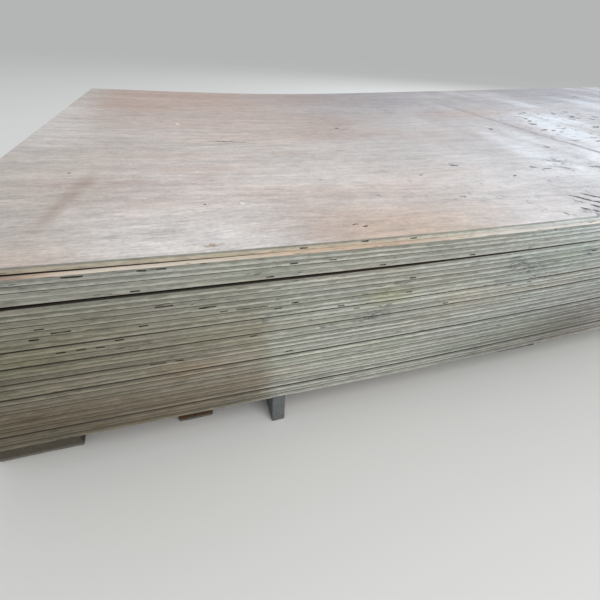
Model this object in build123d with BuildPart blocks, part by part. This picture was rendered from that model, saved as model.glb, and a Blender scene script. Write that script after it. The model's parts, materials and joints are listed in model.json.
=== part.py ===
from build123d import *
from math import cos, radians, sin, sqrt, tan
import os

# Stack of thin plywood sheets, bowed along its length, lying on cross bearers.
# Millimetres. X runs along the sheets, Y across them with the front edge at -Y, Z up from the floor.
# Every sheet bends over one place: a straight left part that falls a little, a long bend, and a
# straight right part that rises. Sheets, joints and heights are counted from the bottom.

# Sheets
sheet_length = 2440.0
sheet_width = 1220.0
sheet_thickness = 6.0
lower_block_count = 27
upper_block_count = 5
tight_joint = 0.05  # air left between two sheets that lie on each other

# Bow of the stack
lowest_point_height = 50.0  # of the underside, over the floor
left_fall_angle = 0.80  # degrees, of the left part, down to the right
right_rise_angle = 1.89  # degrees, of the right part, up to the right
lower_bend_reach = 235.0  # from the corner of the bend to where the lowest sheet is straight again
upper_bend_reach = 240.0  # the same, for the lowest sheet of the upper block
straight_run = 112.0  # of the upper block, between the curl of its top sheets and its bend

# Air in joints that have sprung open
slack_joint = 0.45
slack_joint_numbers = (3, 11, 14, 17, 20, 23)
block_opening = 2.9  # between the two blocks, over the left part
curl_length = 260.0  # from the left end to where the curled top sheet comes down on its neighbour
second_curl_length = 160.0
curl_reach = 30.0  # from the corner of a curl to where its sheet is straight again
second_curl_lift = 0.8  # of the second sheet's left end
top_curl_lift = 2.3  # of the top sheet's left end

# How far sheets lie out of line, to the back and to the right, one after another
back_steps = (0.0, 0.7, -0.5, 0.3, 1.0, -0.2, 0.5)
right_steps = (0.0, 1.6, -1.2, 0.6, 2.2, -0.5, 1.1, -1.8, 0.9)
top_sheet_setback = 7.0

# Bearers: distance from the left end, width, and setback from the front edge
plain_bearer_width = 75.0
plain_bearer_setback = 40.0
dark_bearer_place = 705.0
right_bearer_place = sheet_length - 140.0
middle_bearer_place = (dark_bearer_place + right_bearer_place) / 2
bearers = {
    "bearer_flat": (2.0, 88.0, 30.0),
    "bearer_brown": (198.0, 44.0, 34.0),
    "bearer_slim": (313.0, 18.0, 4.0),
    "bearer_dark": (dark_bearer_place, plain_bearer_width, plain_bearer_setback),
    "bearer_middle": (middle_bearer_place, plain_bearer_width, plain_bearer_setback),
    "bearer_right": (right_bearer_place, plain_bearer_width, plain_bearer_setback),
}
bearer_back_setback = 30.0
bearer_seat = 0.05  # air left under the lowest sheet
bearer_bevel = 1.5

# Directions along the straight parts, and square up from the right part and from mid bend
left_angle = -radians(left_fall_angle)
right_angle = radians(right_rise_angle)
bend = right_angle - left_angle
middle_angle = (left_angle + right_angle) / 2
left_way = Vector(cos(left_angle), sin(left_angle))
left_up = Vector(-sin(left_angle), cos(left_angle))
right_way = Vector(cos(right_angle), sin(right_angle))
right_up = Vector(-sin(right_angle), cos(right_angle))
middle_up = Vector(-sin(middle_angle), cos(middle_angle))

lower_bend_radius = lower_bend_reach / tan(bend / 2)
upper_bend_radius = upper_bend_reach / tan(bend / 2)

# The stack's underside in the X-Z plane, with its left end at X = 0
upper_corner_from_left = curl_length + curl_reach + straight_run + upper_bend_reach
corner_from_left = upper_corner_from_left - block_opening / sin(bend)
bend_centre = Vector(
    corner_from_left * cos(left_angle) - lower_bend_radius * sin(middle_angle) / cos(bend / 2),
    lowest_point_height + lower_bend_radius,
)
underside_corner = bend_centre - middle_up * (lower_bend_radius / cos(bend / 2))
underside_start = underside_corner - left_way * corner_from_left


def underside_height(x):
    """Height of the stack's underside over the floor."""
    if x < bend_centre.X + lower_bend_radius * sin(left_angle):
        return underside_corner.Y + (x - underside_corner.X) * tan(left_angle)
    if x > bend_centre.X + lower_bend_radius * sin(right_angle):
        return underside_corner.Y + (x - underside_corner.X) * tan(right_angle)
    return bend_centre.Y - sqrt(lower_bend_radius**2 - (x - bend_centre.X) ** 2)


def bow_corner(left_height, right_height):
    """Where the straight parts of a face would meet, from its heights over the underside's."""
    run = (left_height - right_height * cos(bend)) / sin(bend)
    return underside_corner + right_up * right_height + right_way * run


def raised(points, height):
    """A broken line moved up, square to each of its runs."""
    ways = [(after - before).normalized() for before, after in zip(points, points[1:])]
    ups = [Vector(-way.Y, way.X) for way in ways]
    mitres = [(one + other) * (1 / (1 + one.dot(other))) for one, other in zip(ups, ups[1:])]
    return [point + up * height for point, up in zip(points, [ups[0], *mitres, ups[-1]])]


def lower_face(left_height, right_height, bend_radius, right_step, lift=0.0, lift_length=0.0):
    """Points and bend radii of a sheet's lower face, from its left end to its right end."""
    start = underside_start + left_way * right_step + left_up * (left_height + lift)
    corner = bow_corner(left_height, right_height)
    points, radii = [start, corner], [bend_radius]
    if lift:
        points.insert(1, underside_start + left_way * lift_length + left_up * left_height)
        radii.insert(0, curl_reach / tan(lift / lift_length / 2))
    run_done = sum((after - before).length for before, after in zip(points, points[1:]))
    saved_by_bend = bend_radius * (2 * tan(bend / 2) - bend)
    points.append(corner + right_way * (sheet_length - run_done + saved_by_bend))
    return points, radii


# The lower face of each sheet, from the lowest sheet up
step_up = sheet_thickness + tight_joint
faces = []
height = 0.0
for number in range(lower_block_count):
    if number in slack_joint_numbers:
        height += slack_joint
    right_step = right_steps[number % len(right_steps)]
    faces.append(lower_face(height, height, lower_bend_radius - height, right_step))
    height += step_up

curls = {
    upper_block_count - 2: (second_curl_lift, second_curl_length),
    upper_block_count - 1: (top_curl_lift, curl_length),
}
for number in range(upper_block_count):
    rise = number * step_up
    right_step = right_steps[(lower_block_count + number) % len(right_steps)]
    lift, lift_length = curls.get(number, (0.0, 0.0))
    left_height, right_height = height + block_opening + rise, height + rise
    faces.append(
        lower_face(left_height, right_height, upper_bend_radius - rise, right_step, lift, lift_length)
    )

# Steps to the back, and the shift that centres the whole stack on X = 0 and Y = 0
steps_back = [back_steps[number % len(back_steps)] for number in range(len(faces))]
steps_back[-1] = top_sheet_setback
corners = [corner for points, _ in faces for corner in points + raised(points, sheet_thickness)]
along = [corner.X for corner in corners]
shift = -(min(along) + max(along)) / 2
front_edge = -(sheet_width + min(steps_back) + max(steps_back)) / 2


def section_plane(setback):
    """The X-Z plane at a distance behind the front edge, seen from the front."""
    return Plane(origin=(shift, front_edge + setback, 0), x_dir=(1, 0, 0), z_dir=(0, -1, 0))


os.makedirs("parts", exist_ok=True)

for number, ((points, radii), step_back) in enumerate(zip(faces, steps_back), start=1):
    with BuildPart() as sheet:
        with BuildSketch(section_plane(step_back)):
            with BuildLine():
                lower = FilletPolyline(*points, radius=radii)
                upper = FilletPolyline(
                    *raised(points, sheet_thickness), radius=[radius - sheet_thickness for radius in radii]
                )
                Line(lower @ 0, upper @ 0)
                Line(lower @ 1, upper @ 1)
            make_face()
        extrude(amount=-sheet_width)
    sheet.part.label = f"sheet_{number:02d}"
    export_step(sheet.part, f"parts/{sheet.part.label}.step")

for name, (from_left, width, setback) in bearers.items():
    lowest_place = min(max(bend_centre.X, from_left), from_left + width)
    with BuildPart() as bearer:
        with BuildSketch(section_plane(setback)):
            with Locations((from_left, 0)):
                Rectangle(width, underside_height(lowest_place) - bearer_seat, align=(Align.MIN, Align.MIN))
        extrude(amount=-(sheet_width - setback - bearer_back_setback))
        chamfer(bearer.edges().filter_by(Axis.Y), bearer_bevel)
    bearer.part.label = name
    export_step(bearer.part, f"parts/{name}.step")
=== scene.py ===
"""Dresses a stack of thin plywood sheets that lies, bowed, on timber bearers."""

import json
import math
import random

import bmesh
import bpy
from mathutils import Matrix, Vector


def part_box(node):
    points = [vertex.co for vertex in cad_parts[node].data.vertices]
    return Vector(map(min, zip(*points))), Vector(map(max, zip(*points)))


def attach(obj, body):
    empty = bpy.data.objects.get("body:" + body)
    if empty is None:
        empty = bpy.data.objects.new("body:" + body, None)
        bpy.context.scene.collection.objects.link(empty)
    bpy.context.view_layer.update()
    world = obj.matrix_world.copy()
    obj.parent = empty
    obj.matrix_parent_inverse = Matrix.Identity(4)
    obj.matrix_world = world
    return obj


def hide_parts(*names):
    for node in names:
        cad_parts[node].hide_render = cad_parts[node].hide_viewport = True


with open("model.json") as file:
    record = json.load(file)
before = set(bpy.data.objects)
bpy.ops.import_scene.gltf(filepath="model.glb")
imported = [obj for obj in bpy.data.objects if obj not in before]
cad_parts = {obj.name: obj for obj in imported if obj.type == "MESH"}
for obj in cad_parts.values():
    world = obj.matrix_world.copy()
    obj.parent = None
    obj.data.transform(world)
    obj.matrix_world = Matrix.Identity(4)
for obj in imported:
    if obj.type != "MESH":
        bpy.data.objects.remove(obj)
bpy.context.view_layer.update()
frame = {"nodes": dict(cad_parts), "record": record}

bl_info = {
    "name": "Plywood Stack",
    "version": (1, 0, 0),
    "blender": (4, 5, 0),
    "location": "View3D > Sidebar > Plywood Stack",
    "description": "Models and finishes a bowed stack of plywood sheets on timber bearers",
    "category": "Object",
}

SHEETS = sorted(name for name in frame["nodes"] if name.startswith("sheet"))
BEARERS = sorted(name for name in frame["nodes"] if name.startswith("bearer"))
TOP_SHEET = SHEETS[-1]
SHEET_SIZE = (2.44, 1.22, 0.006)

# Where the photo's view of the front edge ends, from the left end
VIEW_END = 0.85

# Length at each corner that stays free of strewn gaps
CORNER_MARGIN = 0.02

# Gap in a ply: the lip left round its mouth, how ragged the mouth is, lengths of strewn ones
GAP_LIP = 0.00015
GAP_RAGGEDNESS = 0.0005
GAP_LENGTHS = (0.009, 0.009, 0.017)

# Chip out of an arris: how deep, how ragged, how far up and in it reaches, how far past its start
CHIP_DEPTH = 0.0045
CHIP_RAGGEDNESS = 0.0006
CHIP_REACH = 0.001
CHIP_RUN_OUT = 0.002

# Points this close to an edge stray with the saw
SAWN_DEPTH = 0.0006

# Bearers: bevel, distance between cuts over width and height
TIMBER_BEVEL = 0.0018
TIMBER_END_SPACING = 0.008

# How far apart the patterns of neighbouring sheets lie in the noise
PATTERN_STEP = 3.7

# Heights of the glue lines in a sheet's edge
GLUE_LINES = (0.0012, 0.0030, 0.0048)

# Joints that have sprung open, by the number of the sheet under them
OPEN_JOINTS = (3, 11, 14, 17, 20, 23, 30)

# Chips out of the lowest sheet's front arris: distance from the left end, length
ARRIS_CHIPS = ((0.083, 0.018), (0.318, 0.020), (0.560, 0.012), (1.240, 0.016), (1.910, 0.024))

# Gaps in the front edge's inner plies: sheet number, distance from the left end, length, glue line under it
FRONT_GAPS = (
    (31, 0.192, 0.008, 1), (31, 0.210, 0.008, 1), (31, 0.139, 0.010, 1), (25, 0.204, 0.014, 1),
    (22, 0.188, 0.008, 1), (20, 0.163, 0.008, 1), (19, 0.147, 0.009, 1), (19, 0.127, 0.010, 1),
    (19, 0.109, 0.010, 1), (24, 0.101, 0.008, 0), (22, 0.100, 0.008, 1), (23, 0.113, 0.012, 0),
    (14, 0.210, 0.008, 1), (14, 0.188, 0.014, 1), (24, 0.240, 0.014, 1), (23, 0.253, 0.008, 0),
    (23, 0.270, 0.016, 0), (23, 0.290, 0.012, 0), (22, 0.314, 0.008, 1), (23, 0.327, 0.012, 0),
    (21, 0.386, 0.008, 0), (30, 0.366, 0.008, 0), (30, 0.331, 0.008, 0), (32, 0.334, 0.008, 0),
    (32, 0.404, 0.008, 1), (32, 0.458, 0.008, 0), (17, 0.288, 0.006, 1), (20, 0.398, 0.014, 0),
    (25, 0.464, 0.008, 0), (22, 0.463, 0.010, 0), (20, 0.637, 0.008, 0), (20, 0.608, 0.008, 0),
    (28, 0.181, 0.008, 0), (28, 0.308, 0.008, 0), (28, 0.425, 0.010, 0), (28, 0.534, 0.010, 0),
    (26, 0.622, 0.006, 0), (25, 0.727, 0.008, 1), (18, 0.520, 0.008, 0), (12, 0.330, 0.008, 1),
)


def linear(red, green, blue):
    """A display colour, 0 to 255, as the linear colour that a shader takes."""
    return tuple(
        ((c / 255 + 0.055) / 1.055) ** 2.4 if c > 10 else c / 255 / 12.92 for c in (red, green, blue))


def opaque(colour):
    return (*colour, 1.0)


# Settings


class SheetSettings(bpy.types.PropertyGroup):
    """Sizes and colours of the plywood sheets."""

    cut_spacing: bpy.props.FloatProperty(
        name="Cut spacing", description="Distance between the mesh's cuts along an edge",
        default=0.008, unit="LENGTH")
    arris: bpy.props.FloatProperty(
        name="Arris", description="Width of the worn arris along every edge", default=0.0003, unit="LENGTH")
    saw_waviness: bpy.props.FloatProperty(
        name="Saw waviness", description="How far a sawn edge strays in and out",
        default=0.0007, unit="LENGTH")
    gap_depth: bpy.props.FloatProperty(
        name="Gap depth", description="Depth of a gap in an inner ply", default=0.006, unit="LENGTH")
    gaps_each_metre: bpy.props.FloatProperty(
        name="Gaps each metre", description="How often an inner ply has a gap", default=1.8)
    edge_light: bpy.props.FloatVectorProperty(
        name="Pale plies", description="Edge colour of a sheet's lower plies", subtype="COLOR",
        default=linear(192, 193, 184))
    edge_dark: bpy.props.FloatVectorProperty(
        name="Dark plies", description="Edge colour of a sheet's upper plies", subtype="COLOR",
        default=linear(136, 137, 129))
    edge_middle: bpy.props.FloatVectorProperty(
        name="Dirty plies", description="Edge colour where dirt has evened out the plies", subtype="COLOR",
        default=linear(162, 162, 153))
    face: bpy.props.FloatVectorProperty(
        name="Face", description="Colour of the weathered face of the top sheet", subtype="COLOR",
        default=linear(206, 200, 197))
    covered_face: bpy.props.FloatVectorProperty(
        name="Covered face", description="Colour of a face that the stack has covered", subtype="COLOR",
        default=linear(214, 196, 178))


class BearerSettings(bpy.types.PropertyGroup):
    """Sizes and colours of the bearers."""

    cut_spacing: bpy.props.FloatProperty(
        name="Cut spacing", description="Distance between the mesh's cuts along a bearer",
        default=0.016, unit="LENGTH")
    wear: bpy.props.FloatProperty(
        name="Wear", description="How deep the sawn faces are worn", default=0.0016, unit="LENGTH")
    weathered: bpy.props.FloatVectorProperty(
        name="Weathered", description="Colour of the weathered timbers", subtype="COLOR",
        default=linear(94, 87, 76))
    brown: bpy.props.FloatVectorProperty(
        name="Brown", description="Colour of the brown timber", subtype="COLOR", default=linear(84, 60, 38))
    grey: bpy.props.FloatVectorProperty(
        name="Grey", description="Colour of the slim grey timber", subtype="COLOR",
        default=linear(112, 117, 118))


class StageSettings(bpy.types.PropertyGroup):
    """Camera, lights and floor."""

    camera_place: bpy.props.FloatVectorProperty(
        name="Camera place", description="Where the camera stands", subtype="TRANSLATION", unit="LENGTH",
        default=(-0.9805, -0.9099, 0.4069))
    camera_pan: bpy.props.FloatProperty(
        name="Pan", description="Turn to the right, from looking straight across the sheets",
        default=math.radians(18.716), subtype="ANGLE", unit="ROTATION")
    camera_tilt: bpy.props.FloatProperty(
        name="Tilt", description="Turn down from level", default=math.radians(34.537), subtype="ANGLE",
        unit="ROTATION")
    camera_roll: bpy.props.FloatProperty(
        name="Roll", description="Turn about the line of sight", default=math.radians(3.004),
        subtype="ANGLE", unit="ROTATION")
    lens: bpy.props.FloatProperty(
        name="Lens", description="Focal length on a 36 mm wide sensor", default=22.35, unit="CAMERA")
    world_strength: bpy.props.FloatProperty(
        name="Sky", description="Strength of the even light all round", default=0.64)
    floor: bpy.props.FloatVectorProperty(
        name="Floor", description="Colour of the floor", subtype="COLOR", default=linear(222, 222, 220))


# Shader maths


class Value:
    """A socket in a node tree. Arithmetic on it adds Math nodes."""

    def __init__(self, tree, socket=None):
        self.tree = tree
        self.socket = socket

    def add(self, kind, inputs=None, output=0, **settings):
        """Add a node with its settings, then the values or links of its sockets."""
        node = self.tree.nodes.new(kind)
        for name, setting in settings.items():
            setattr(node, name, setting)
        for key, value in (inputs or {}).items():
            if isinstance(value, Value):
                self.tree.links.new(value.socket, node.inputs[key])
            elif value is not None:
                node.inputs[key].default_value = value
        return Value(self.tree, node.outputs[output])

    def attribute(self, name, output):
        """A point attribute of the mesh: output 1 is its vector, 2 its number."""
        return self.add("ShaderNodeAttribute", output=output, attribute_name=name)

    def place(self):
        """Where the point lies, in metres."""
        return self.add("ShaderNodeTexCoord", output=3)

    def joined(self, x, y):
        """A vector of two numbers."""
        return self.add("ShaderNodeCombineXYZ", {0: x, 1: y})

    def math(self, operation, *values):
        return self.add("ShaderNodeMath", dict(enumerate(values)), operation=operation)

    def __add__(self, other):
        return self.math("ADD", self, other)

    def __radd__(self, other):
        return self.math("ADD", other, self)

    def __sub__(self, other):
        return self.math("SUBTRACT", self, other)

    def __rsub__(self, other):
        return self.math("SUBTRACT", other, self)

    def __mul__(self, other):
        return self.math("MULTIPLY", self, other)

    def __rmul__(self, other):
        return self.math("MULTIPLY", other, self)

    def __truediv__(self, other):
        return self.math("DIVIDE", self, other)

    def maximum(self, other):
        return self.math("MAXIMUM", self, other)

    def step(self, low, high):
        """0 below low, 1 above high, with a soft rise between them."""
        if low > high:
            return 1 - self.step(high, low)
        return self.add("ShaderNodeMapRange", {0: self, 1: low, 2: high}, interpolation_type="SMOOTHSTEP")

    def vector(self, operation, other, output=0):
        return self.add("ShaderNodeVectorMath", {0: self, 1: other}, output, operation=operation)

    def part(self, axis):
        return self.add("ShaderNodeSeparateXYZ", {0: self}, "XYZ".index(axis))

    def noise(self, scales, detail=3.0, roughness=0.5, w=None, seed=0.0):
        """Noise, 0 to 1, with a size of its own along each axis: cells a metre."""
        stretched = self.vector("MULTIPLY", scales)
        w = seed if w is None else w * PATTERN_STEP + seed
        return self.add(
            "ShaderNodeTexNoise",
            {"Vector": stretched, "W": w, "Scale": 1.0, "Detail": detail, "Roughness": roughness},
            noise_dimensions="4D")

    def mix(self, first, second):
        """Colour that goes from first to second with this value."""
        first = first if isinstance(first, Value) else opaque(first)
        second = second if isinstance(second, Value) else opaque(second)
        return self.add(
            "ShaderNodeMix", {0: self, 6: first, 7: second}, 2, data_type="RGBA", blend_type="MIX")

    def product(self, colour):
        """This colour multiplied by another."""
        return self.add(
            "ShaderNodeMix", {0: 1.0, 6: self, 7: colour}, 2, data_type="RGBA", blend_type="MULTIPLY")

    def times(self, value):
        """This colour made darker or paler by a value round 1."""
        return self.product(self.add("ShaderNodeCombineColor", {0: value, 1: value, 2: value}))

    def spot(self, centre, radii, turn=0.0, soft=0.5):
        """1 inside an ellipse of the X-Y plane, 0 outside it."""
        moved = self.vector("SUBTRACT", (*centre, 0.0))
        turned = self.add(
            "ShaderNodeMapping", {"Vector": moved, "Rotation": (0.0, 0.0, -turn)}, vector_type="POINT")
        scaled = turned.vector("MULTIPLY", (1 / radii[0], 1 / radii[1], 0.0))
        return scaled.vector("LENGTH", (0.0, 0.0, 0.0), 1).step(1.0, 1.0 - soft)


def new_material(name):
    material = bpy.data.materials.new(name)
    material.use_nodes = True
    tree = material.node_tree
    return material, Value(tree), tree.nodes["Principled BSDF"]


def finish_material(shader, colour, roughness, height=None, depth=0.0):
    """Link colour, roughness and, if there is one, a bump of a depth in metres."""
    tree = colour.tree
    tree.links.new(colour.socket, shader.inputs["Base Color"])
    tree.links.new(roughness.socket, shader.inputs["Roughness"])
    if height:
        bump = colour.add("ShaderNodeBump", {"Strength": 1.0, "Distance": depth, "Height": height})
        tree.links.new(bump.socket, shader.inputs["Normal"])


def multiplied(mask, tone, tint):
    """The colour, taken towards its product with a tint where the mask is 1."""
    return mask.mix(tone, tone.product(opaque(tint)))


def largest(masks):
    """The highest of several masks at each point."""
    found = masks[0]
    for mask in masks[1:]:
        found = found.maximum(mask)
    return found


# Smudges on the front edge: place along and up, radii
EDGE_SMUDGES = (
    ((-0.923, 0.171), (0.012, 0.007)), ((-0.800, 0.154), (0.030, 0.010)),
    ((-0.780, 0.166), (0.018, 0.007)), ((-0.608, 0.200), (0.016, 0.016)),
    ((-0.585, 0.190), (0.034, 0.012)), ((-0.490, 0.205), (0.012, 0.008)),
    ((-0.850, 0.149), (0.020, 0.006)), ((-0.560, 0.175), (0.030, 0.008)),
    ((-0.760, 0.196), (0.016, 0.005)),
)


def edge_material(settings):
    """Sawn edge: two-tone plies, streaks, dirt and the tones of single sheets, with painted shade at the
    left, the foot, the joints and in the gaps, and painted light at the right.
    """
    material, nodes, shader = new_material("plywood_edge")
    flat = nodes.attribute("flat", 1)
    sheet = nodes.attribute("sheet", 2)
    inset = nodes.attribute("inset", 2)
    place = nodes.place()
    height = flat.part("Z") / SHEET_SIZE[2]
    along = place.part("X")
    up = place.part("Z")

    opened = nodes.attribute("opened", 1)
    front = place.part("Y").step(-0.59, -0.60)
    upper_block = sheet.step(27.4, 27.6)
    top_sheet = sheet.step(len(SHEETS) - 0.6, len(SHEETS) - 0.4)

    # Pale and dark plies, evened out by dirt and, at the left, by painted shade, and the top sheet's fresher
    # edge
    ragged = flat.noise((60, 60, 300), 3, 0.65, sheet)
    waver = flat.noise((3.0, 3.0, 0), 2, 0.5, sheet, 4.0)
    ply = (height + (ragged - 0.5) * 0.9 + (waver - 0.5) * 0.7).step(0.34, 0.60)
    tone = ply.mix(settings.edge_light, settings.edge_dark)
    contrast = flat.noise((1.6, 1.6, 0), 2, 0.5, sheet, 9.0).step(0.38, 0.62)
    # The left part of the front, where shade is painted
    left = along.step(-0.82, -1.22) * front
    tone = (contrast * 0.45 + 0.12 + left * (0.2 + upper_block * 0.2)).mix(tone, settings.edge_middle)
    fresh = height.step(0.74, 0.60) * top_sheet * front
    fresh_tone = along.step(-0.86, -0.70).mix(linear(196, 186, 168), linear(198, 196, 190))
    tone = (fresh * 0.85).mix(tone, fresh_tone)

    # Tone of the whole sheet, streaks, fibres and blotches
    whole = flat.noise((0.9, 0.9, 0), 1, 0.5, sheet, 2.0)
    streak = flat.noise((11, 11, 560), 5, 0.7, sheet)
    fibre = flat.noise((150, 150, 800), 3, 0.6, sheet, 7.0)
    mottle = flat.noise((70, 70, 230), 4, 0.7, sheet, 17.0)
    cloud = place.noise((5, 5, 16), 3, 0.55, None, 8.0)
    tone = tone.times(
        1.03 + (whole - 0.5) * 0.5 + (streak - 0.5) * 1.1 + (fibre - 0.5) * 0.7 + (mottle - 0.5) * 0.9
        + (cloud - 0.5) * 0.3)
    blotches = place.noise((30, 30, 95), 4, 0.7, None, 6.0).step(0.52, 0.68)
    # More dark blotches in the painted shade at the left
    tone = (blotches * (0.14 + left * 0.2)).mix(tone, linear(74, 70, 60))

    # Tints of areas of the stack's front; some of them are painted shade and painted light
    greenish = place.noise((2.6, 2.6, 12.0), 2, 0.5, None, 3.0).step(0.52, 0.70)
    tone = multiplied(greenish * 0.35, tone, (1.0, 1.0, 0.80))
    stand = nodes.joined(along + (cloud - 0.5) * 0.06, up + (cloud - 0.5) * 0.02)
    lichen = stand.spot((-0.775, 0.181), (0.055, 0.022), soft=0.9) * front
    tone = multiplied(lichen * 0.5, tone, (0.97, 0.98, 0.66))
    # Painted shade: the left part darkened, most of all low down at the left
    tone = multiplied(left * (1 - upper_block * 0.55), tone, (0.58, 0.565, 0.51))
    tone = multiplied(left * upper_block, tone, (0.98, 0.98, 1.0))
    low_left = (along + (up - 0.1) * 0.03).step(-0.900, -0.925) * up.step(0.25, 0.13) * front
    tone = multiplied(low_left * 0.75, tone, (0.75, 0.66, 0.58))
    low_right = along.step(-0.66, -0.40) * up.step(0.17, 0.09) * along.step(0.6, 0.0) * front
    tone = multiplied(low_right * 0.85, tone, (0.74, 0.64, 0.62))
    # Painted light: the right part of the front made paler and bluer
    right = along.step(-0.80, -0.45) * (1 - along.step(-0.35, 0.20) * 0.7) * front
    tone = multiplied(right * 0.85, tone, (1.02, 1.10, 1.19))
    tone = multiplied(along.step(1.19, 1.21), tone, (0.98, 0.90, 0.82))
    # More painted light, high up at the right
    high_right = along.step(-0.70, -0.50) * up.step(0.19, 0.23) * front * (1 - along.step(-0.35, 0.20) * 0.7)
    tone = multiplied(high_right * 0.7, tone, (1.22, 1.25, 1.28))
    # Painted shade: darker along the foot of the front, near the floor
    low = (up - (along + 0.7).maximum(0.0) * 0.033).step(0.132, 0.066)
    foot_shade = along.step(-0.89, -0.95).maximum(along.step(-0.74, -0.60) * along.step(-0.36, -0.48)) * low * front
    tone = multiplied(foot_shade, tone, (0.70, 0.69, 0.67))
    earthy = place.noise((3.2, 3.2, 16.0), 3, 0.55, None, 31.0).step(0.50, 0.66)
    tone = multiplied(earthy * 0.55, tone, (1.05, 0.93, 0.84))
    mossy = place.noise((4.0, 4.0, 20.0), 3, 0.55, None, 37.0).step(0.56, 0.70)
    tone = multiplied(mossy * 0.5, tone, (0.92, 1.0, 0.86))
    brown_patch = stand.spot((-1.000, 0.122), (0.060, 0.018), 0.08, 0.9) * front
    tone = multiplied(brown_patch * 0.6, tone, (1.08, 0.90, 0.76))
    pinkish = sheet.step(27.5, 27.0) * sheet.step(26.4, 26.6) * along.step(-1.09, -1.15)
    pinkish = pinkish.maximum(sheet.step(28.6, 28.4) * upper_block * height.step(0.3, 0.1)) * front
    tone = (pinkish * 0.3).mix(tone, linear(176, 160, 150))

    # Dark smudges, and painted shade in thin dashes and in the joints between sheets
    smudges = largest([stand.spot(centre, radii, soft=0.8) for centre, radii in EDGE_SMUDGES])
    rubbed = place.noise((130, 130, 420), 3, 0.7, None, 5.0).step(0.46, 0.58)
    tone = (smudges * rubbed * 0.7).mix(tone, linear(78, 82, 86))

    crowded = place.noise((6, 6, 30), 2, 0.5, None, 13.0).step(0.40, 0.60)
    # Painted shade of thin gaps in the plies
    dashes = flat.noise((52, 52, 560), 2, 0.5, sheet, 12.0).step(0.65, 0.70)
    tone = (dashes * (0.2 + crowded * 0.6)).mix(tone, linear(58, 52, 46))
    # Painted shade: dark lines at the joints between sheets, darker where a joint has sprung open
    worn = flat.noise((13, 13, 0), 3, 0.6, sheet, 20.0).step(0.44, 0.64)
    joint = height.step(0.10, 0.0).maximum(height.step(0.95, 1.0) * 0.7) * (0.06 + worn * 0.55)
    gape = height.step(0.16, 0.04) * opened.part("X") + height.step(0.92, 0.99) * opened.part("Y")
    run = flat.part("X")
    wide_open = sheet.step(12.6, 12.4).maximum(run.step(0.30, 0.16)).maximum(run.step(0.62, 0.70) * 0.8)
    gape = gape * (0.15 + wide_open * 0.85)
    gape = gape * (0.75 + flat.noise((6, 6, 0), 3, 0.5, None, 21.0).step(0.36, 0.58) * 0.25)
    gape = gape * (1 - upper_block * run.step(0.10, 0.32))
    sheet_15 = sheet.step(14.4, 14.6) * sheet.step(15.6, 15.4)
    hidden_joint = height.step(0.40, 0.14) * sheet_15 * run.step(0.30, 0.14)
    gape = gape.maximum(hidden_joint * 0.9)
    joint = joint * (1 - top_sheet * run.step(0.25, 0.40) * run.step(0.62, 0.55))
    tone = joint.maximum(gape).mix(tone, linear(46, 43, 37))
    # Painted shade inside the gaps
    hollow = inset.step(0.0001, 0.0006) * (0.60 + (cloud - 0.5) * 1.6)
    tone = hollow.mix(tone, linear(44, 37, 31))

    rough = 0.86 + (fibre - 0.5) * 0.3
    finish_material(shader, tone, rough, streak * 0.6 + fibre * 0.4, 0.0008)
    shader.inputs["Specular IOR Level"].default_value = 0.25
    return material


def face_grain(nodes, flat, seed):
    """Pores, streaks and long curved figure of a rotary-cut veneer, each 0 to 1."""
    bend = flat.noise((1.3, 2.6, 0), 2, 0.5, None, seed + 1)
    swept = nodes.joined(flat.part("X"), flat.part("Y") + (bend - 0.5) * 0.16)
    pores = swept.noise((45, 420, 0), 4, 0.7, None, seed + 2)
    streaks = swept.noise((8.0, 74, 0), 5, 0.72, None, seed + 3)
    figure = swept.noise((1.3, 15, 0), 4, 0.6, None, seed + 4)
    return pores, streaks, figure


def covered_face_material(settings):
    """Face that the stack has covered: fresh veneer, darkened near the edges by painted shade of the gaps
    between sheets.
    """
    material, nodes, shader = new_material("plywood_covered_face")
    flat = nodes.attribute("flat", 1)
    sheet = nodes.attribute("sheet", 2)
    along = flat.part("X")
    across = flat.part("Y")
    pores, streaks, figure = face_grain(nodes, flat, 30)
    whole = flat.noise((1.2, 1.2, 0), 2, 0.5, sheet)
    tone = whole.step(0.35, 0.65).mix(settings.covered_face, linear(212, 190, 170))
    tone = (along.step(0.14, 0.09) * 0.9).mix(tone, linear(156, 138, 128))
    tone = (along.step(0.11, 0.16) * along.step(0.34, 0.24) * 0.8).mix(tone, linear(216, 208, 196))
    tone = (along.step(0.42, 0.62) * 0.9).mix(tone, linear(226, 224, 218))
    tone = tone.times(1 + (streaks - 0.5) * 0.7 + (pores - 0.5) * 0.5 + (figure - 0.5) * 0.4)
    scraped = flat.noise((46, 420, 0), 2, 0.5, sheet, 3.0).step(0.62, 0.68) * across.step(0.012, 0.004)
    tone = (scraped * 0.75).mix(tone, linear(104, 72, 48))

    # Painted shade of the gaps between sheets, darkest under the edge of the sheet above
    from_edge = across.math("MINIMUM", across, SHEET_SIZE[1] - across)
    from_end = along.math("MINIMUM", along, SHEET_SIZE[0] - along)
    depth = from_edge.math("MINIMUM", from_edge, from_end)
    strip = sheet.step(len(SHEETS) - 1.6, len(SHEETS) - 1.4) * (0.0067 + along.step(0.25, 0.40) * 0.0014)
    gap_shade = (depth - strip).step(-0.0002, 0.0006) * depth.step(0.070, 0.020)
    deep = (depth - strip).step(0.0004, 0.0014)
    tone = (gap_shade * 0.92).mix(tone, deep.mix(linear(64, 59, 52), linear(25, 21, 19)))
    finish_material(shader, tone, 0.7 + (pores - 0.5) * 0.3, pores, 0.0001)
    shader.inputs["Specular IOR Level"].default_value = 0.3
    return material


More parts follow.
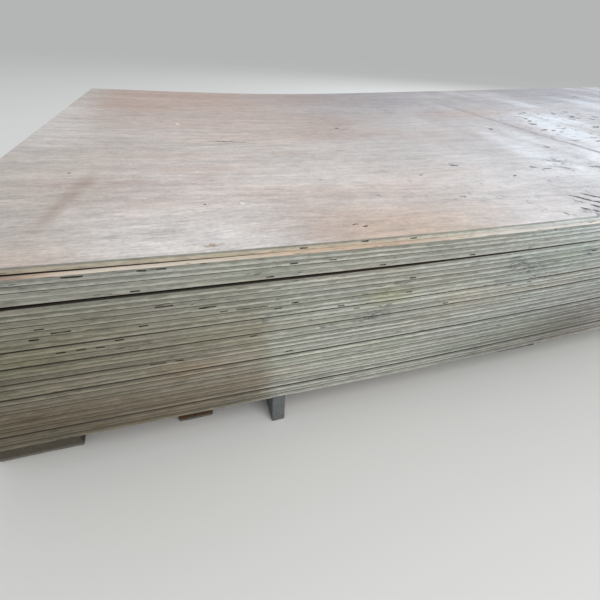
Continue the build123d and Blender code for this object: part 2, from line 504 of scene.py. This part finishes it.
# Marks on the top face: distance from the left end and from the front edge, radii, turn
DARK_SPECKS = (
    ((0.678, 0.233), (0.0100, 0.0050), -0.4), ((0.479, 0.120), (0.0038, 0.0028), 0.3),
    ((0.409, 0.036), (0.0042, 0.0018), 0.1), ((0.419, 0.030), (0.0030, 0.0022), 0.0),
    ((0.593, 0.096), (0.0060, 0.0034), -0.6), ((0.590, 0.194), (0.0050, 0.0036), 0.5),
    ((0.967, 0.490), (0.0100, 0.0080), 0.8), ((1.119, 0.515), (0.0080, 0.0120), 0.4),
    ((1.126, 0.523), (0.0140, 0.0050), -0.7), ((1.088, 0.450), (0.0160, 0.0060), 0.2),
    ((1.104, 0.438), (0.0080, 0.0070), 0.9), ((0.808, 0.196), (0.0090, 0.0050), -0.5),
    ((0.597, 0.565), (0.0080, 0.0060), 0.7), ((0.098, 0.254), (0.0030, 0.0040), 0.0),
    ((0.259, 0.119), (0.0024, 0.0024), 0.0), ((0.738, 0.161), (0.0060, 0.0036), 0.4),
    ((0.823, 0.182), (0.0150, 0.0032), 0.05), ((0.330, 0.440), (0.0420, 0.0032), -0.22),
    ((0.950, 0.307), (0.0080, 0.0045), -0.3), ((1.167, 0.598), (0.0050, 0.0120), 0.2),
    ((1.147, 0.556), (0.0110, 0.0070), 1.1), ((1.311, 0.636), (0.0080, 0.0110), -0.4),
    ((1.378, 0.656), (0.0160, 0.0070), 0.3), ((1.320, 0.582), (0.0180, 0.0070), 0.5),
    ((1.289, 0.554), (0.0140, 0.0070), -0.2), ((1.145, 0.448), (0.0060, 0.0060), 0.0),
    ((1.249, 0.448), (0.0180, 0.0090), 0.6), ((1.345, 0.540), (0.0120, 0.0080), -0.8),
    ((1.387, 0.566), (0.0090, 0.0120), 0.3), ((1.213, 0.657), (0.0100, 0.0080), 0.9),
    ((1.162, 0.584), (0.0080, 0.0060), 0.2), ((1.108, 0.323), (0.0120, 0.0050), 0.1),
    ((1.060, 0.340), (0.0140, 0.0040), -0.2), ((1.733, 0.941), (0.0200, 0.0070), 0.1),
)
PALE_CHIPS = (((0.246, 0.615), (0.0040, 0.0120), 0.3), ((0.302, 0.117), (0.0030, 0.0050), 0.6))

# Scrapes near the front edge, made of strokes side by side
SCRAPES = (
    ((0.753, 0.055), (0.0240, 0.0046), -1.15), ((0.745, 0.027), (0.0110, 0.0044), -1.27),
    ((0.762, 0.036), (0.0140, 0.0044), -1.10), ((0.737, 0.046), (0.0110, 0.0028), -1.15),
    ((0.722, 0.023), (0.0110, 0.0036), -1.16), ((0.730, 0.014), (0.0060, 0.0030), -1.10),
    ((0.711, 0.014), (0.0060, 0.0024), -0.90), ((0.682, 0.015), (0.0060, 0.0030), -1.40),
    ((0.776, 0.058), (0.0200, 0.0046), -1.10), ((0.768, 0.018), (0.0120, 0.0036), -1.20),
    ((0.797, 0.040), (0.0260, 0.0048), -0.85),
)


def marks(flat, wobble, places, soft=0.45):
    """1 on each of the marks, with a ragged outline."""
    ragged = flat.vector("ADD", wobble)
    return largest([ragged.spot(centre, radii, turn, soft) for centre, radii, turn in places])


def top_face_material(settings):
    """Weathered face of the top sheet, with its tints, grain, scuffs and specks, and painted sheen and shadow
    at the right.
    """
    material, nodes, shader = new_material("plywood_top_face")
    flat = nodes.attribute("flat", 1)
    along = flat.part("X")
    across = flat.part("Y")
    pores, streaks, figure = face_grain(nodes, flat, 60)

    # Tints of areas of the face; those at the right are painted sheen and painted shadow
    cloud = flat.noise((1.8, 4.5, 0), 5, 0.62, None, 71)
    bands = flat.noise((1.0, 9.0, 0), 4, 0.6, None, 72)
    tone = (bands.step(0.38, 0.62) * 0.6).mix(settings.face, linear(200, 180, 170))
    tone = (cloud.step(0.42, 0.64) * 0.5).mix(tone, linear(190, 184, 182))
    left = along.step(0.28, 0.0)
    tone = (left * 0.8).mix(tone, linear(188, 180, 173))
    near = across.step(0.42, 0.10) * along.step(0.12, 0.28)
    tone = (near * cloud.step(0.34, 0.58) * 0.7).mix(tone, linear(220, 214, 212))
    front = across.step(0.13, 0.0) * along.step(0.31, 0.43) * along.step(0.64, 0.48)
    tone = (front * 0.8).mix(tone, linear(200, 176, 156))
    front_left = across.step(0.06, 0.0) * along.step(0.30, 0.08)
    tone = (front_left * 0.35).mix(tone, linear(198, 172, 152))
    pale_near = across.step(0.16, 0.02) * along.step(0.10, 0.20) * along.step(0.37, 0.29)
    tone = (pale_near * 0.6).mix(tone, linear(224, 221, 219))
    pale_left = along.step(0.13, 0.04) * across.step(0.26, 0.52) * across.step(1.05, 0.80)
    tone = (pale_left * cloud.step(0.30, 0.60) * 0.6).mix(tone, linear(222, 219, 218))
    far = across.step(0.45, 1.0) * along.step(1.0, 0.3) * along.step(0.0, 0.10)
    tone = (far * 0.8).mix(tone, linear(186, 163, 152))
    # Painted reflection: the right part toned bluish grey, for the window's sheen
    right = (along + across * 0.10).step(0.42, 1.02)
    tone = (right * 0.6).mix(tone, linear(168, 166, 170))
    # Painted shadow: darker towards the back at the right, most of all at the far right
    tone = multiplied(right * across.step(0.5, 1.1), tone, (0.88, 0.89, 0.92))
    tone = multiplied(along.step(1.1, 1.7) * across.step(0.3, 0.8), tone, (0.80, 0.80, 0.81))
    # Painted sheen: paler near the front at the right
    near_right = (along + across * 0.2).step(0.68, 0.88) * across.step(0.34, 0.14)
    tone = (near_right * 0.5).mix(tone, linear(226, 228, 232))
    ripple = nodes.joined(along - across * 0.185, across)
    sheen = (ripple.noise((7.0, 2.2, 0), 5, 0.62, None, 73) - across.step(0.3, 1.0) * 0.05).step(0.40, 0.60)
    # Painted sheen: darker between the sheen patches at the right
    tone = multiplied(right * (1 - sheen) * 0.45, tone, (0.80, 0.78, 0.80))
    brown = flat.noise((2.2, 5.0, 0), 5, 0.65, None, 79).step(0.50, 0.68)
    tone = (brown * 0.46).mix(tone, linear(176, 148, 136))
    fleck = flat.noise((30, 48, 0), 5, 0.78, None, 80)
    torn = flat.noise((180, 180, 0), 3, 0.7, None, 76)
    tone = tone.times(
        0.89 + (streaks - 0.5) * 0.9 + (pores - 0.5) * 1.0 + (figure - 0.5) * 0.5 + (fleck - 0.5) * 0.7
        + (torn - 0.5) * 0.5)

    # A stain across the left part, and a crease further right whose dark line is painted shade
    stripe = (along - 0.103) - (across - 0.09) * 0.16 - (cloud - 0.5) * 0.012
    stain = stripe.math("ABSOLUTE", stripe).step(0.016, 0.0)
    stain = stain * across.step(0.03, 0.10) * across.step(0.29, 0.20)
    tone = (stain * 0.36).mix(tone, linear(140, 116, 104))
    crease = (along - 1.010) - (across - 0.236) * 0.13 - (cloud - 0.5) * 0.05
    crease = crease.math("ABSOLUTE", crease)
    crease = (crease.step(0.034, 0.0) * 0.5 + crease.step(0.011, 0.003)) * across.step(0.16, 0.26)
    crease = crease * across.step(1.05, 0.85) * (0.6 + (streaks - 0.5) * 1.5)
    tone = (crease * 0.38).mix(tone, linear(118, 108, 114))

    # Specks, chips, scrapes and strewn crumbs
    wobble = nodes.joined(
        (flat.noise((160, 160, 0), 3, 0.6, None, 74) - 0.5) * 0.012,
        (flat.noise((160, 160, 0), 3, 0.6, None, 75) - 0.5) * 0.012)
    specks = marks(flat, wobble, DARK_SPECKS, 0.35) * torn.step(0.42, 0.49)
    tone = (specks * 0.92).mix(tone, linear(44, 42, 46))
    tone = (marks(flat, wobble, PALE_CHIPS) * 0.9).mix(tone, linear(232, 224, 206))
    smudge = marks(flat, wobble, (((0.256, 0.013), (0.014, 0.0032), 0.1),), 0.8)
    tone = (smudge * 0.75).mix(tone, linear(138, 108, 70))

    scraped = marks(flat, wobble, SCRAPES, 0.6) * torn.step(0.32, 0.44)
    tone = (scraped * 0.9).mix(tone, linear(50, 52, 62))
    rubbed = marks(flat, wobble, (
        ((0.880, 0.218), (0.050, 0.014), -0.55), ((0.858, 0.180), (0.030, 0.012), -0.85),
        ((0.925, 0.165), (0.034, 0.012), -0.60), ((0.915, 0.120), (0.040, 0.012), -0.90)), 0.8)
    rubbed = rubbed * torn.step(0.36, 0.56)
    tone = (rubbed * 0.75).mix(tone, linear(104, 104, 114))
    drift = nodes.joined(
        (flat.noise((5, 5, 0), 4, 0.6, None, 81) - 0.5) * 0.5,
        (flat.noise((5, 5, 0), 4, 0.6, None, 82) - 0.5) * 0.5)
    strewn = flat.vector("ADD", drift)
    scuffed = (
        strewn.spot((0.880, 0.190), (0.120, 0.090), 0.0, 0.8)
        .maximum(strewn.spot((1.130, 0.440), (0.220, 0.140), 0.0, 0.9) * 0.9)
        .maximum(strewn.spot((1.290, 0.620), (0.320, 0.220), 0.0, 0.9))
        .maximum(strewn.spot((0.640, 0.130), (0.120, 0.080), 0.0, 0.8) * 0.4)
        .maximum(strewn.spot((0.800, 0.040), (0.110, 0.080), 0.0, 0.8)))
    crumbs = flat.noise((58, 38, 0), 4, 0.75, None, 77).step(0.560, 0.605) * scuffed
    tone = (crumbs * 0.85).mix(tone, linear(66, 66, 76))
    dots = flat.noise((60, 60, 0), 2, 0.5, None, 78).step(0.68, 0.71) * along.step(0.05, 0.7)
    tone = (dots * 0.6).mix(tone, linear(92, 86, 88))

    rough = 0.66 + (pores - 0.5) * 0.3 - right * 0.10
    rough = rough - sheen * (0.06 + right * 0.12) + across.step(0.6, 1.1) * 0.14
    rough = rough.maximum(largest([specks, scraped, crumbs, rubbed, crease * 0.8]) * 0.95)
    finish_material(shader, tone, rough, pores * 0.5 + streaks * 0.5, 0.00025)
    shader.inputs["Specular IOR Level"].default_value = 0.5
    return material


def timber_material(name, colour, seed):
    """Sawn timber that runs across the stack: grain along it, rings and cracks on its ends, and a painted
    highlight along its foot.
    """
    material, nodes, shader = new_material(name)
    place = nodes.place()
    grain = place.noise((160, 5, 160), 4, 0.6, None, seed)
    rings = place.noise((38, 0.6, 38), 2, 0.5, None, seed + 1)
    rings = (rings * 14).math("SINE", rings * 14) * 0.5 + 0.5
    dirt = place.noise((9, 4, 14), 4, 0.6, None, seed + 2)
    tone = (grain.step(0.35, 0.65) * 0.6).mix(colour, tuple(c * 0.62 for c in colour))
    tone = (rings * 0.35).mix(tone, tuple(c * 0.7 for c in colour))
    tone = (dirt.step(0.5, 0.75) * 0.55).mix(tone, linear(96, 94, 88))
    cracks = place.noise((240, 2.0, 60), 3, 0.6, None, seed + 3).step(0.66, 0.70)
    tone = (cracks * 0.7).mix(tone, linear(36, 30, 25))
    # Painted highlight: paler along the foot, near the floor
    foot_highlight = place.noise((30, 30, 90), 3, 0.6, None, seed + 4).step(0.36, 0.5)
    foot_highlight = place.part("Z").step(0.007, 0.002) * foot_highlight
    tone = (foot_highlight * 0.6).mix(tone, linear(138, 136, 128))
    finish_material(shader, tone, 0.9 + (grain - 0.5) * 0.1, grain * 0.7 + rings * 0.3, 0.0012)
    shader.inputs["Specular IOR Level"].default_value = 0.2
    return material


# Modelling


def deselect():
    if bpy.context.object and bpy.context.object.mode != "OBJECT":
        bpy.ops.object.mode_set(mode="OBJECT")
    bpy.ops.object.select_all(action="DESELECT")


def work_on(piece):
    deselect()
    piece.select_set(True)
    bpy.context.view_layer.objects.active = piece


def add_box(name, low, high):
    """Add a box between two corners, with its place in its mesh."""
    deselect()
    low, high = Vector(low), Vector(high)
    bpy.ops.mesh.primitive_cube_add(size=1.0, location=(low + high) / 2, scale=high - low)
    piece = bpy.context.object
    piece.name = name
    bpy.ops.object.transform_apply(location=True, rotation=True, scale=True)
    return piece


def select_edges(piece, wanted):
    """In edit mode, select the edges that are wanted for their direction and middle."""
    bpy.ops.mesh.select_all(action="DESELECT")
    mesh = bmesh.from_edit_mesh(piece.data)
    for edge in mesh.edges:
        first, last = (vertex.co for vertex in edge.verts)
        edge.select_set(wanted((last - first).normalized(), (first + last) / 2))
    bmesh.update_edit_mesh(piece.data)


def select_faces(piece, wanted):
    """In edit mode, select the faces that are wanted for their middle and normal, and count them."""
    bpy.ops.mesh.select_mode(type="FACE")
    bpy.ops.mesh.select_all(action="DESELECT")
    mesh = bmesh.from_edit_mesh(piece.data)
    found = 0
    for face in mesh.faces:
        if wanted(face.calc_center_median(), face.normal):
            face.select_set(True)
            found += 1
    bmesh.update_edit_mesh(piece.data)
    return found


def cut_evenly(piece, wanted, count):
    """In edit mode, cut the wanted edges into count equal lengths."""
    rounds = [1]
    while count > 90:
        divisor = next(d for d in range(2, count + 1) if count % d == 0)
        rounds.append(divisor)
        count //= divisor
    for parts in [count] + rounds:
        if parts > 1:
            select_edges(piece, wanted)
            bpy.ops.mesh.subdivide(number_cuts=parts - 1)


def flat_sheet(name, settings):
    """Model a sheet before it is bent: worn arrises, glue lines and evenly cut edges."""
    length, width, _ = SHEET_SIZE
    sheet = add_box(name, (0.0, 0.0, 0.0), SHEET_SIZE)
    bpy.ops.object.mode_set(mode="EDIT")
    bpy.ops.mesh.select_mode(type="EDGE")
    bpy.ops.mesh.select_all(action="SELECT")
    bpy.ops.mesh.bevel(offset=settings.arris, segments=1, affect="EDGES")
    for height in GLUE_LINES:
        bpy.ops.mesh.select_all(action="SELECT")
        bpy.ops.mesh.bisect(plane_co=(0.0, 0.0, height), plane_no=(0.0, 0.0, 1.0))
    columns = 5 * round(length / settings.cut_spacing / 5)
    cut_evenly(sheet, lambda way, middle: abs(way.x) > 0.9, columns)
    end_reach = length / 2 - 1.5 * settings.cut_spacing
    end_rows = 2 * round(width / settings.cut_spacing / 2)
    cut_evenly(
        sheet, lambda way, middle: abs(way.y) > 0.9 and abs(middle.x - length / 2) > end_reach, end_rows)
    bpy.ops.object.mode_set(mode="OBJECT")
    return sheet


def open_gaps(sheet, side, gaps, depth, seed):
    """Push pieces of the inner plies in on one side, where a ply has a gap with a ragged mouth."""
    axis = 0 if side.y else 1

    def in_gap(middle, normal):
        if normal.dot(side) < 0.9:
            return False
        for start, length, line in gaps:
            if start <= middle[axis] <= start + length and GLUE_LINES[line] < middle.z < GLUE_LINES[line + 1]:
                return True
        return False

    bpy.ops.object.mode_set(mode="EDIT")
    if select_faces(sheet, in_gap):
        bpy.ops.mesh.inset(thickness=GAP_LIP, use_even_offset=False)
        bpy.ops.transform.vertex_random(offset=GAP_RAGGEDNESS, seed=seed)
        bpy.ops.mesh.extrude_region_move(TRANSFORM_OT_translate={"value": side * -depth})
    bpy.ops.object.mode_set(mode="OBJECT")


def chip_arris(sheet):
    """Knock chips out of the lower front arris."""
    for start, length in ARRIS_CHIPS:
        bpy.ops.object.mode_set(mode="EDIT")
        bpy.ops.mesh.select_mode(type="VERT")
        bpy.ops.mesh.select_all(action="DESELECT")
        mesh = bmesh.from_edit_mesh(sheet.data)
        for vertex in mesh.verts:
            x, y, z = vertex.co
            if start - CHIP_RUN_OUT < x < start + length and y < CHIP_REACH and z < CHIP_REACH:
                vertex.select_set(True)
        mesh.select_flush_mode()
        bmesh.update_edit_mesh(sheet.data)
        bpy.ops.transform.translate(value=(0.0, CHIP_DEPTH, 0.0))
        bpy.ops.transform.vertex_random(offset=CHIP_RAGGEDNESS, seed=3)
        bpy.ops.object.mode_set(mode="OBJECT")


def chance_gaps(chance, start, end, settings):
    """Gaps strewn over a length of edge."""
    count = round((end - start) * settings.gaps_each_metre * chance.uniform(0.4, 1.6))
    return [(chance.uniform(start, end), chance.choice(GAP_LENGTHS), chance.choice((0, 1)))
            for _ in range(count)]


def store_flat_places(sheet, number):
    """Keep where each point lay before bending, how deep it is set in, and the sheet's number."""
    mesh = sheet.data
    length, width, _ = SHEET_SIZE
    places = [tuple(vertex.co) for vertex in mesh.vertices]
    depths = [max(0.0, min(x, length - x, y, width - y)) for x, y, _ in places]
    opened = (float(number - 1 in OPEN_JOINTS), float(number in OPEN_JOINTS), 0.0)
    for name, kind, key, values in (
        ("flat", "FLOAT_VECTOR", "vector", [c for place in places for c in place]),
        ("opened", "FLOAT_VECTOR", "vector", list(opened) * len(places)),
        ("inset", "FLOAT", "value", depths),
        ("sheet", "FLOAT", "value", [float(number)] * len(places)),
    ):
        mesh.attributes.new(name, kind, "POINT").data.foreach_set(key, values)
    for name, axis, size in (("ends", 0, length), ("long_edges", 1, width)):
        found = [i for i, place in enumerate(places) if min(place[axis], size - place[axis]) < SAWN_DEPTH]
        sheet.vertex_groups.new(name=name).add(found, 1.0, "REPLACE")


def apply_modifiers(piece):
    work_on(piece)
    for modifier in list(piece.modifiers):
        bpy.ops.object.modifier_apply(modifier=modifier.name)


def bow_curve(node):
    """The lower front arris of a sheet's solid, as a curve from left to right."""
    mesh = bmesh.new()
    mesh.from_mesh(node.data)
    bmesh.ops.remove_doubles(mesh, verts=mesh.verts, dist=1e-6)
    arris = set()
    for edge in mesh.edges:
        normals = [face.normal for face in edge.link_faces]
        if any(n.y < -0.9 for n in normals) and any(n.z < -0.9 for n in normals):
            arris.update(edge.verts)
    places = sorted(tuple(vertex.co) for vertex in arris)
    mesh.free()
    data = bpy.data.curves.new("bow", "CURVE")
    data.dimensions = "3D"
    data.twist_mode = "Z_UP"
    spline = data.splines.new("POLY")
    spline.points.add(len(places) - 1)
    for point, place in zip(spline.points, places):
        point.co = (*place, 1.0)
    curve = bpy.data.objects.new("bow", data)
    bpy.context.scene.collection.objects.link(curve)
    return curve


def bend_sheet(sheet, node, settings, texture):
    """Bend a flat sheet along its solid's bow and let its sawn edges stray."""
    curve = bow_curve(node)
    bend = sheet.modifiers.new("bend", "CURVE")
    bend.object = curve
    bend.deform_axis = "POS_X"
    for group, direction in (("long_edges", "Y"), ("ends", "X")):
        stray = sheet.modifiers.new(group, "DISPLACE")
        stray.texture = texture
        stray.texture_coords = "LOCAL"
        stray.direction = direction
        stray.vertex_group = group
        stray.mid_level = 0.5
        stray.strength = settings.saw_waviness
    apply_modifiers(sheet)
    sheet.vertex_groups.clear()
    bpy.data.objects.remove(curve, do_unlink=True)


def assign_faces(sheet, face, edge):
    """Face veneer above and below, edge material round the rest."""
    sheet.data.materials.clear()
    sheet.data.materials.append(face)
    sheet.data.materials.append(edge)
    thickness = SHEET_SIZE[2]
    for polygon in sheet.data.polygons:
        outer = polygon.center.z < 1e-6 or polygon.center.z > thickness - 1e-6
        polygon.material_index = 0 if outer else 1


def dress_sheet(sheet, name, face, edge, settings, texture):
    """Give a flat sheet its gaps and materials, bend it and put it in its node's place."""
    length, width, _ = SHEET_SIZE
    number = int(name[-2:])
    chance = random.Random(number)
    known = [(start, long, line) for at, start, long, line in FRONT_GAPS if at == number]
    long_end, wide_end = length - CORNER_MARGIN, width - CORNER_MARGIN
    sides = (
        ((0, -1, 0), known + chance_gaps(chance, VIEW_END, long_end, settings)),
        ((0, 1, 0), chance_gaps(chance, CORNER_MARGIN, long_end, settings)),
        ((-1, 0, 0), chance_gaps(chance, CORNER_MARGIN, wide_end, settings)),
        ((1, 0, 0), chance_gaps(chance, CORNER_MARGIN, wide_end, settings)),
    )
    for side, gaps in sides:
        open_gaps(sheet, Vector(side), gaps, settings.gap_depth, number)
    if name == SHEETS[0]:
        chip_arris(sheet)
    assign_faces(sheet, face, edge)
    store_flat_places(sheet, number)
    bend_sheet(sheet, frame["nodes"][name], settings, texture)
    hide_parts(name)
    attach(sheet, "root")


def saw_texture():
    texture = bpy.data.textures.get("saw") or bpy.data.textures.new("saw", "CLOUDS")
    texture.noise_scale = 0.03
    texture.noise_depth = 3
    return texture


class PLYWOOD_OT_sheets(bpy.types.Operator):
    """Model the sheets under the top one"""

    bl_idname = "plywood.sheets"
    bl_label = "Covered Sheets"

    def execute(self, context):
        settings = context.scene.plywood_sheets
        face = covered_face_material(settings)
        edge = edge_material(settings)
        pattern = flat_sheet("flat_sheet", settings)
        for name in SHEETS[:-1]:
            sheet = pattern.copy()
            sheet.data = pattern.data.copy()
            sheet.name = "plywood_" + name
            context.scene.collection.objects.link(sheet)
            work_on(sheet)
            dress_sheet(sheet, name, face, edge, settings, saw_texture())
        bpy.data.objects.remove(pattern, do_unlink=True)
        return {"FINISHED"}


class PLYWOOD_OT_top_sheet(bpy.types.Operator):
    """Model the top sheet, with its weathered face"""

    bl_idname = "plywood.top_sheet"
    bl_label = "Top Sheet"

    def execute(self, context):
        settings = context.scene.plywood_sheets
        face = top_face_material(settings)
        edge = bpy.data.materials["plywood_edge"]
        sheet = flat_sheet("plywood_" + TOP_SHEET, settings)
        dress_sheet(sheet, TOP_SHEET, face, edge, settings, saw_texture())
        return {"FINISHED"}


class PLYWOOD_OT_bearers(bpy.types.Operator):
    """Model the timbers under the stack"""

    bl_idname = "plywood.bearers"
    bl_label = "Bearers"

    def execute(self, context):
        settings = context.scene.plywood_bearers
        finishes = {
            "weathered_timber": timber_material("weathered_timber", settings.weathered, 100),
            "brown_timber": timber_material("brown_timber", settings.brown, 120),
            "grey_timber": timber_material("grey_timber", settings.grey, 140),
        }
        slots = {part["node"]: part["material_slot"] for part in frame["record"]["subparts"]}
        wear_texture = bpy.data.textures.new("wear", "CLOUDS")
        wear_texture.noise_scale = 0.02
        wear_texture.noise_depth = 4
        for name in BEARERS:
            low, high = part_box(name)
            timber = add_box("timber_" + name, low, high)
            bpy.ops.object.mode_set(mode="EDIT")
            bpy.ops.mesh.select_mode(type="EDGE")
            bpy.ops.mesh.select_all(action="SELECT")
            bpy.ops.mesh.bevel(offset=TIMBER_BEVEL, segments=2, affect="EDGES")
            size = high - low
            rows = 2 * round(size.y / settings.cut_spacing / 2)
            cut_evenly(timber, lambda way, middle: abs(way.y) > 0.9, rows)
            columns = max(2, round(size.x / TIMBER_END_SPACING))
            cut_evenly(timber, lambda way, middle: abs(way.x) > 0.9, columns)
            layers = max(2, round(size.z / TIMBER_END_SPACING))
            cut_evenly(timber, lambda way, middle: abs(way.z) > 0.9, layers)
            bpy.ops.object.mode_set(mode="OBJECT")
            wear = timber.modifiers.new("wear", "DISPLACE")
            wear.texture = wear_texture
            wear.texture_coords = "LOCAL"
            wear.mid_level = 1.0
            wear.strength = settings.wear
            apply_modifiers(timber)
            bpy.ops.object.shade_smooth_by_angle(angle=math.radians(40))
            timber.data.materials.clear()
            timber.data.materials.append(finishes[slots[name]])
            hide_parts(name)
            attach(timber, "root")
        return {"FINISHED"}


class PLYWOOD_OT_stage(bpy.types.Operator):
    """Set up the floor, the lights and the camera"""

    bl_idname = "plywood.stage"
    bl_label = "Stage"

    def execute(self, context):
        settings = context.scene.plywood_stage
        self.add_floor(settings)
        self.add_lights(context, settings)
        self.add_camera(context, settings)
        context.scene.view_settings.view_transform = "Standard"
        return {"FINISHED"}

    def add_floor(self, settings):
        """A floor so wide that its far edge meets the backdrop at the horizon."""
        deselect()
        bpy.ops.mesh.primitive_plane_add(size=80.0)
        floor = bpy.context.object
        floor.name = "floor"
        material, nodes, shader = new_material("floor")
        place = nodes.place()
        cloud = place.noise((1.5, 1.5, 1.5), 3, 0.5)
        tone = cloud.mix(tuple(c * 0.98 for c in settings.floor), tuple(c * 1.02 for c in settings.floor))
        finish_material(shader, tone, 0.95 + cloud * 0.05)
        shader.inputs["Specular IOR Level"].default_value = 0.0
        floor.data.materials.append(material)

    def add_lights(self, context, settings):
        """Even light all round, soft lamps at the far right and the front, a low one at the right."""
        world = context.scene.world or bpy.data.worlds.new("world")
        context.scene.world = world
        world.use_nodes = True
        sky = Value(world.node_tree)
        seen = sky.add("ShaderNodeLightPath", output=0)
        background = world.node_tree.nodes["Background"]
        even = tuple(c * settings.world_strength for c in (0.97, 0.985, 1.0))
        far_floor = tuple(floor * c for floor, c in zip(settings.floor, even))
        backdrop = seen.mix(even, far_floor)
        world.node_tree.links.new(backdrop.socket, background.inputs["Color"])
        background.inputs["Strength"].default_value = 1.0
        for name, place, aim, size, power, colour in (
            ("window", (2.6, 2.4, 3.2), (-0.2, 0.0, 0.2), (3.0, 3.0), 64.0, (0.95, 0.98, 1.0)),
            ("front", (0.2, -3.2, 3.2), (-0.3, -0.4, 0.15), (2.6, 2.6), 84.0, (1.0, 0.99, 0.97)),
            ("low_window", (2.9, 1.8, 1.0), (-0.3, -0.2, 0.25), (2.2, 1.2), 18.0, (0.60, 0.80, 1.0)),
        ):
            light = bpy.data.lights.new(name, "AREA")
            light.shape = "RECTANGLE"
            light.size, light.size_y = size
            light.energy = power
            light.color = colour
            lamp = bpy.data.objects.new(name, light)
            lamp.location = place
            lamp.rotation_euler = (Vector(aim) - Vector(place)).to_track_quat("-Z", "Y").to_euler()
            lamp.visible_camera = False
            context.scene.collection.objects.link(lamp)

    def add_camera(self, context, settings):
        data = bpy.data.cameras.new("camera")
        data.lens = settings.lens
        data.sensor_width = 36.0
        data.clip_start = 0.01
        camera = bpy.data.objects.new("camera", data)
        turn = (
            Matrix.Rotation(-settings.camera_pan, 4, "Z")
            @ Matrix.Rotation(math.pi / 2 - settings.camera_tilt, 4, "X")
            @ Matrix.Rotation(settings.camera_roll, 4, "Z"))
        camera.matrix_world = Matrix.Translation(settings.camera_place) @ turn
        context.scene.collection.objects.link(camera)
        context.scene.camera = camera


class PLYWOOD_PT_panel(bpy.types.Panel):
    """Lists the pieces of the stack and their settings"""

    bl_idname = "PLYWOOD_PT_panel"
    bl_label = "Plywood Stack"
    bl_space_type = "VIEW_3D"
    bl_region_type = "UI"
    bl_category = "Plywood Stack"

    def draw(self, context):
        scene = context.scene
        for title, group, operators in (
            ("Sheets", scene.plywood_sheets, ("plywood.sheets", "plywood.top_sheet")),
            ("Bearers", scene.plywood_bearers, ("plywood.bearers",)),
            ("Stage", scene.plywood_stage, ("plywood.stage",)),
        ):
            box = self.layout.box()
            box.label(text=title)
            for name in group.bl_rna.properties.keys():
                if name not in ("rna_type", "name"):
                    box.prop(group, name)
            for operator in operators:
                box.operator(operator)


CLASSES = (
    SheetSettings,
    BearerSettings,
    StageSettings,
    PLYWOOD_OT_sheets,
    PLYWOOD_OT_top_sheet,
    PLYWOOD_OT_bearers,
    PLYWOOD_OT_stage,
    PLYWOOD_PT_panel,
)


def register():
    for cls in CLASSES:
        bpy.utils.register_class(cls)
    bpy.types.Scene.plywood_sheets = bpy.props.PointerProperty(type=SheetSettings)
    bpy.types.Scene.plywood_bearers = bpy.props.PointerProperty(type=BearerSettings)
    bpy.types.Scene.plywood_stage = bpy.props.PointerProperty(type=StageSettings)


def unregister():
    del bpy.types.Scene.plywood_stage
    del bpy.types.Scene.plywood_bearers
    del bpy.types.Scene.plywood_sheets
    for cls in reversed(CLASSES):
        bpy.utils.unregister_class(cls)


def main():
    register()
    bpy.ops.plywood.sheets()
    bpy.ops.plywood.top_sheet()
    bpy.ops.plywood.bearers()
    bpy.ops.plywood.stage()


if __name__ == "__main__":
    main()
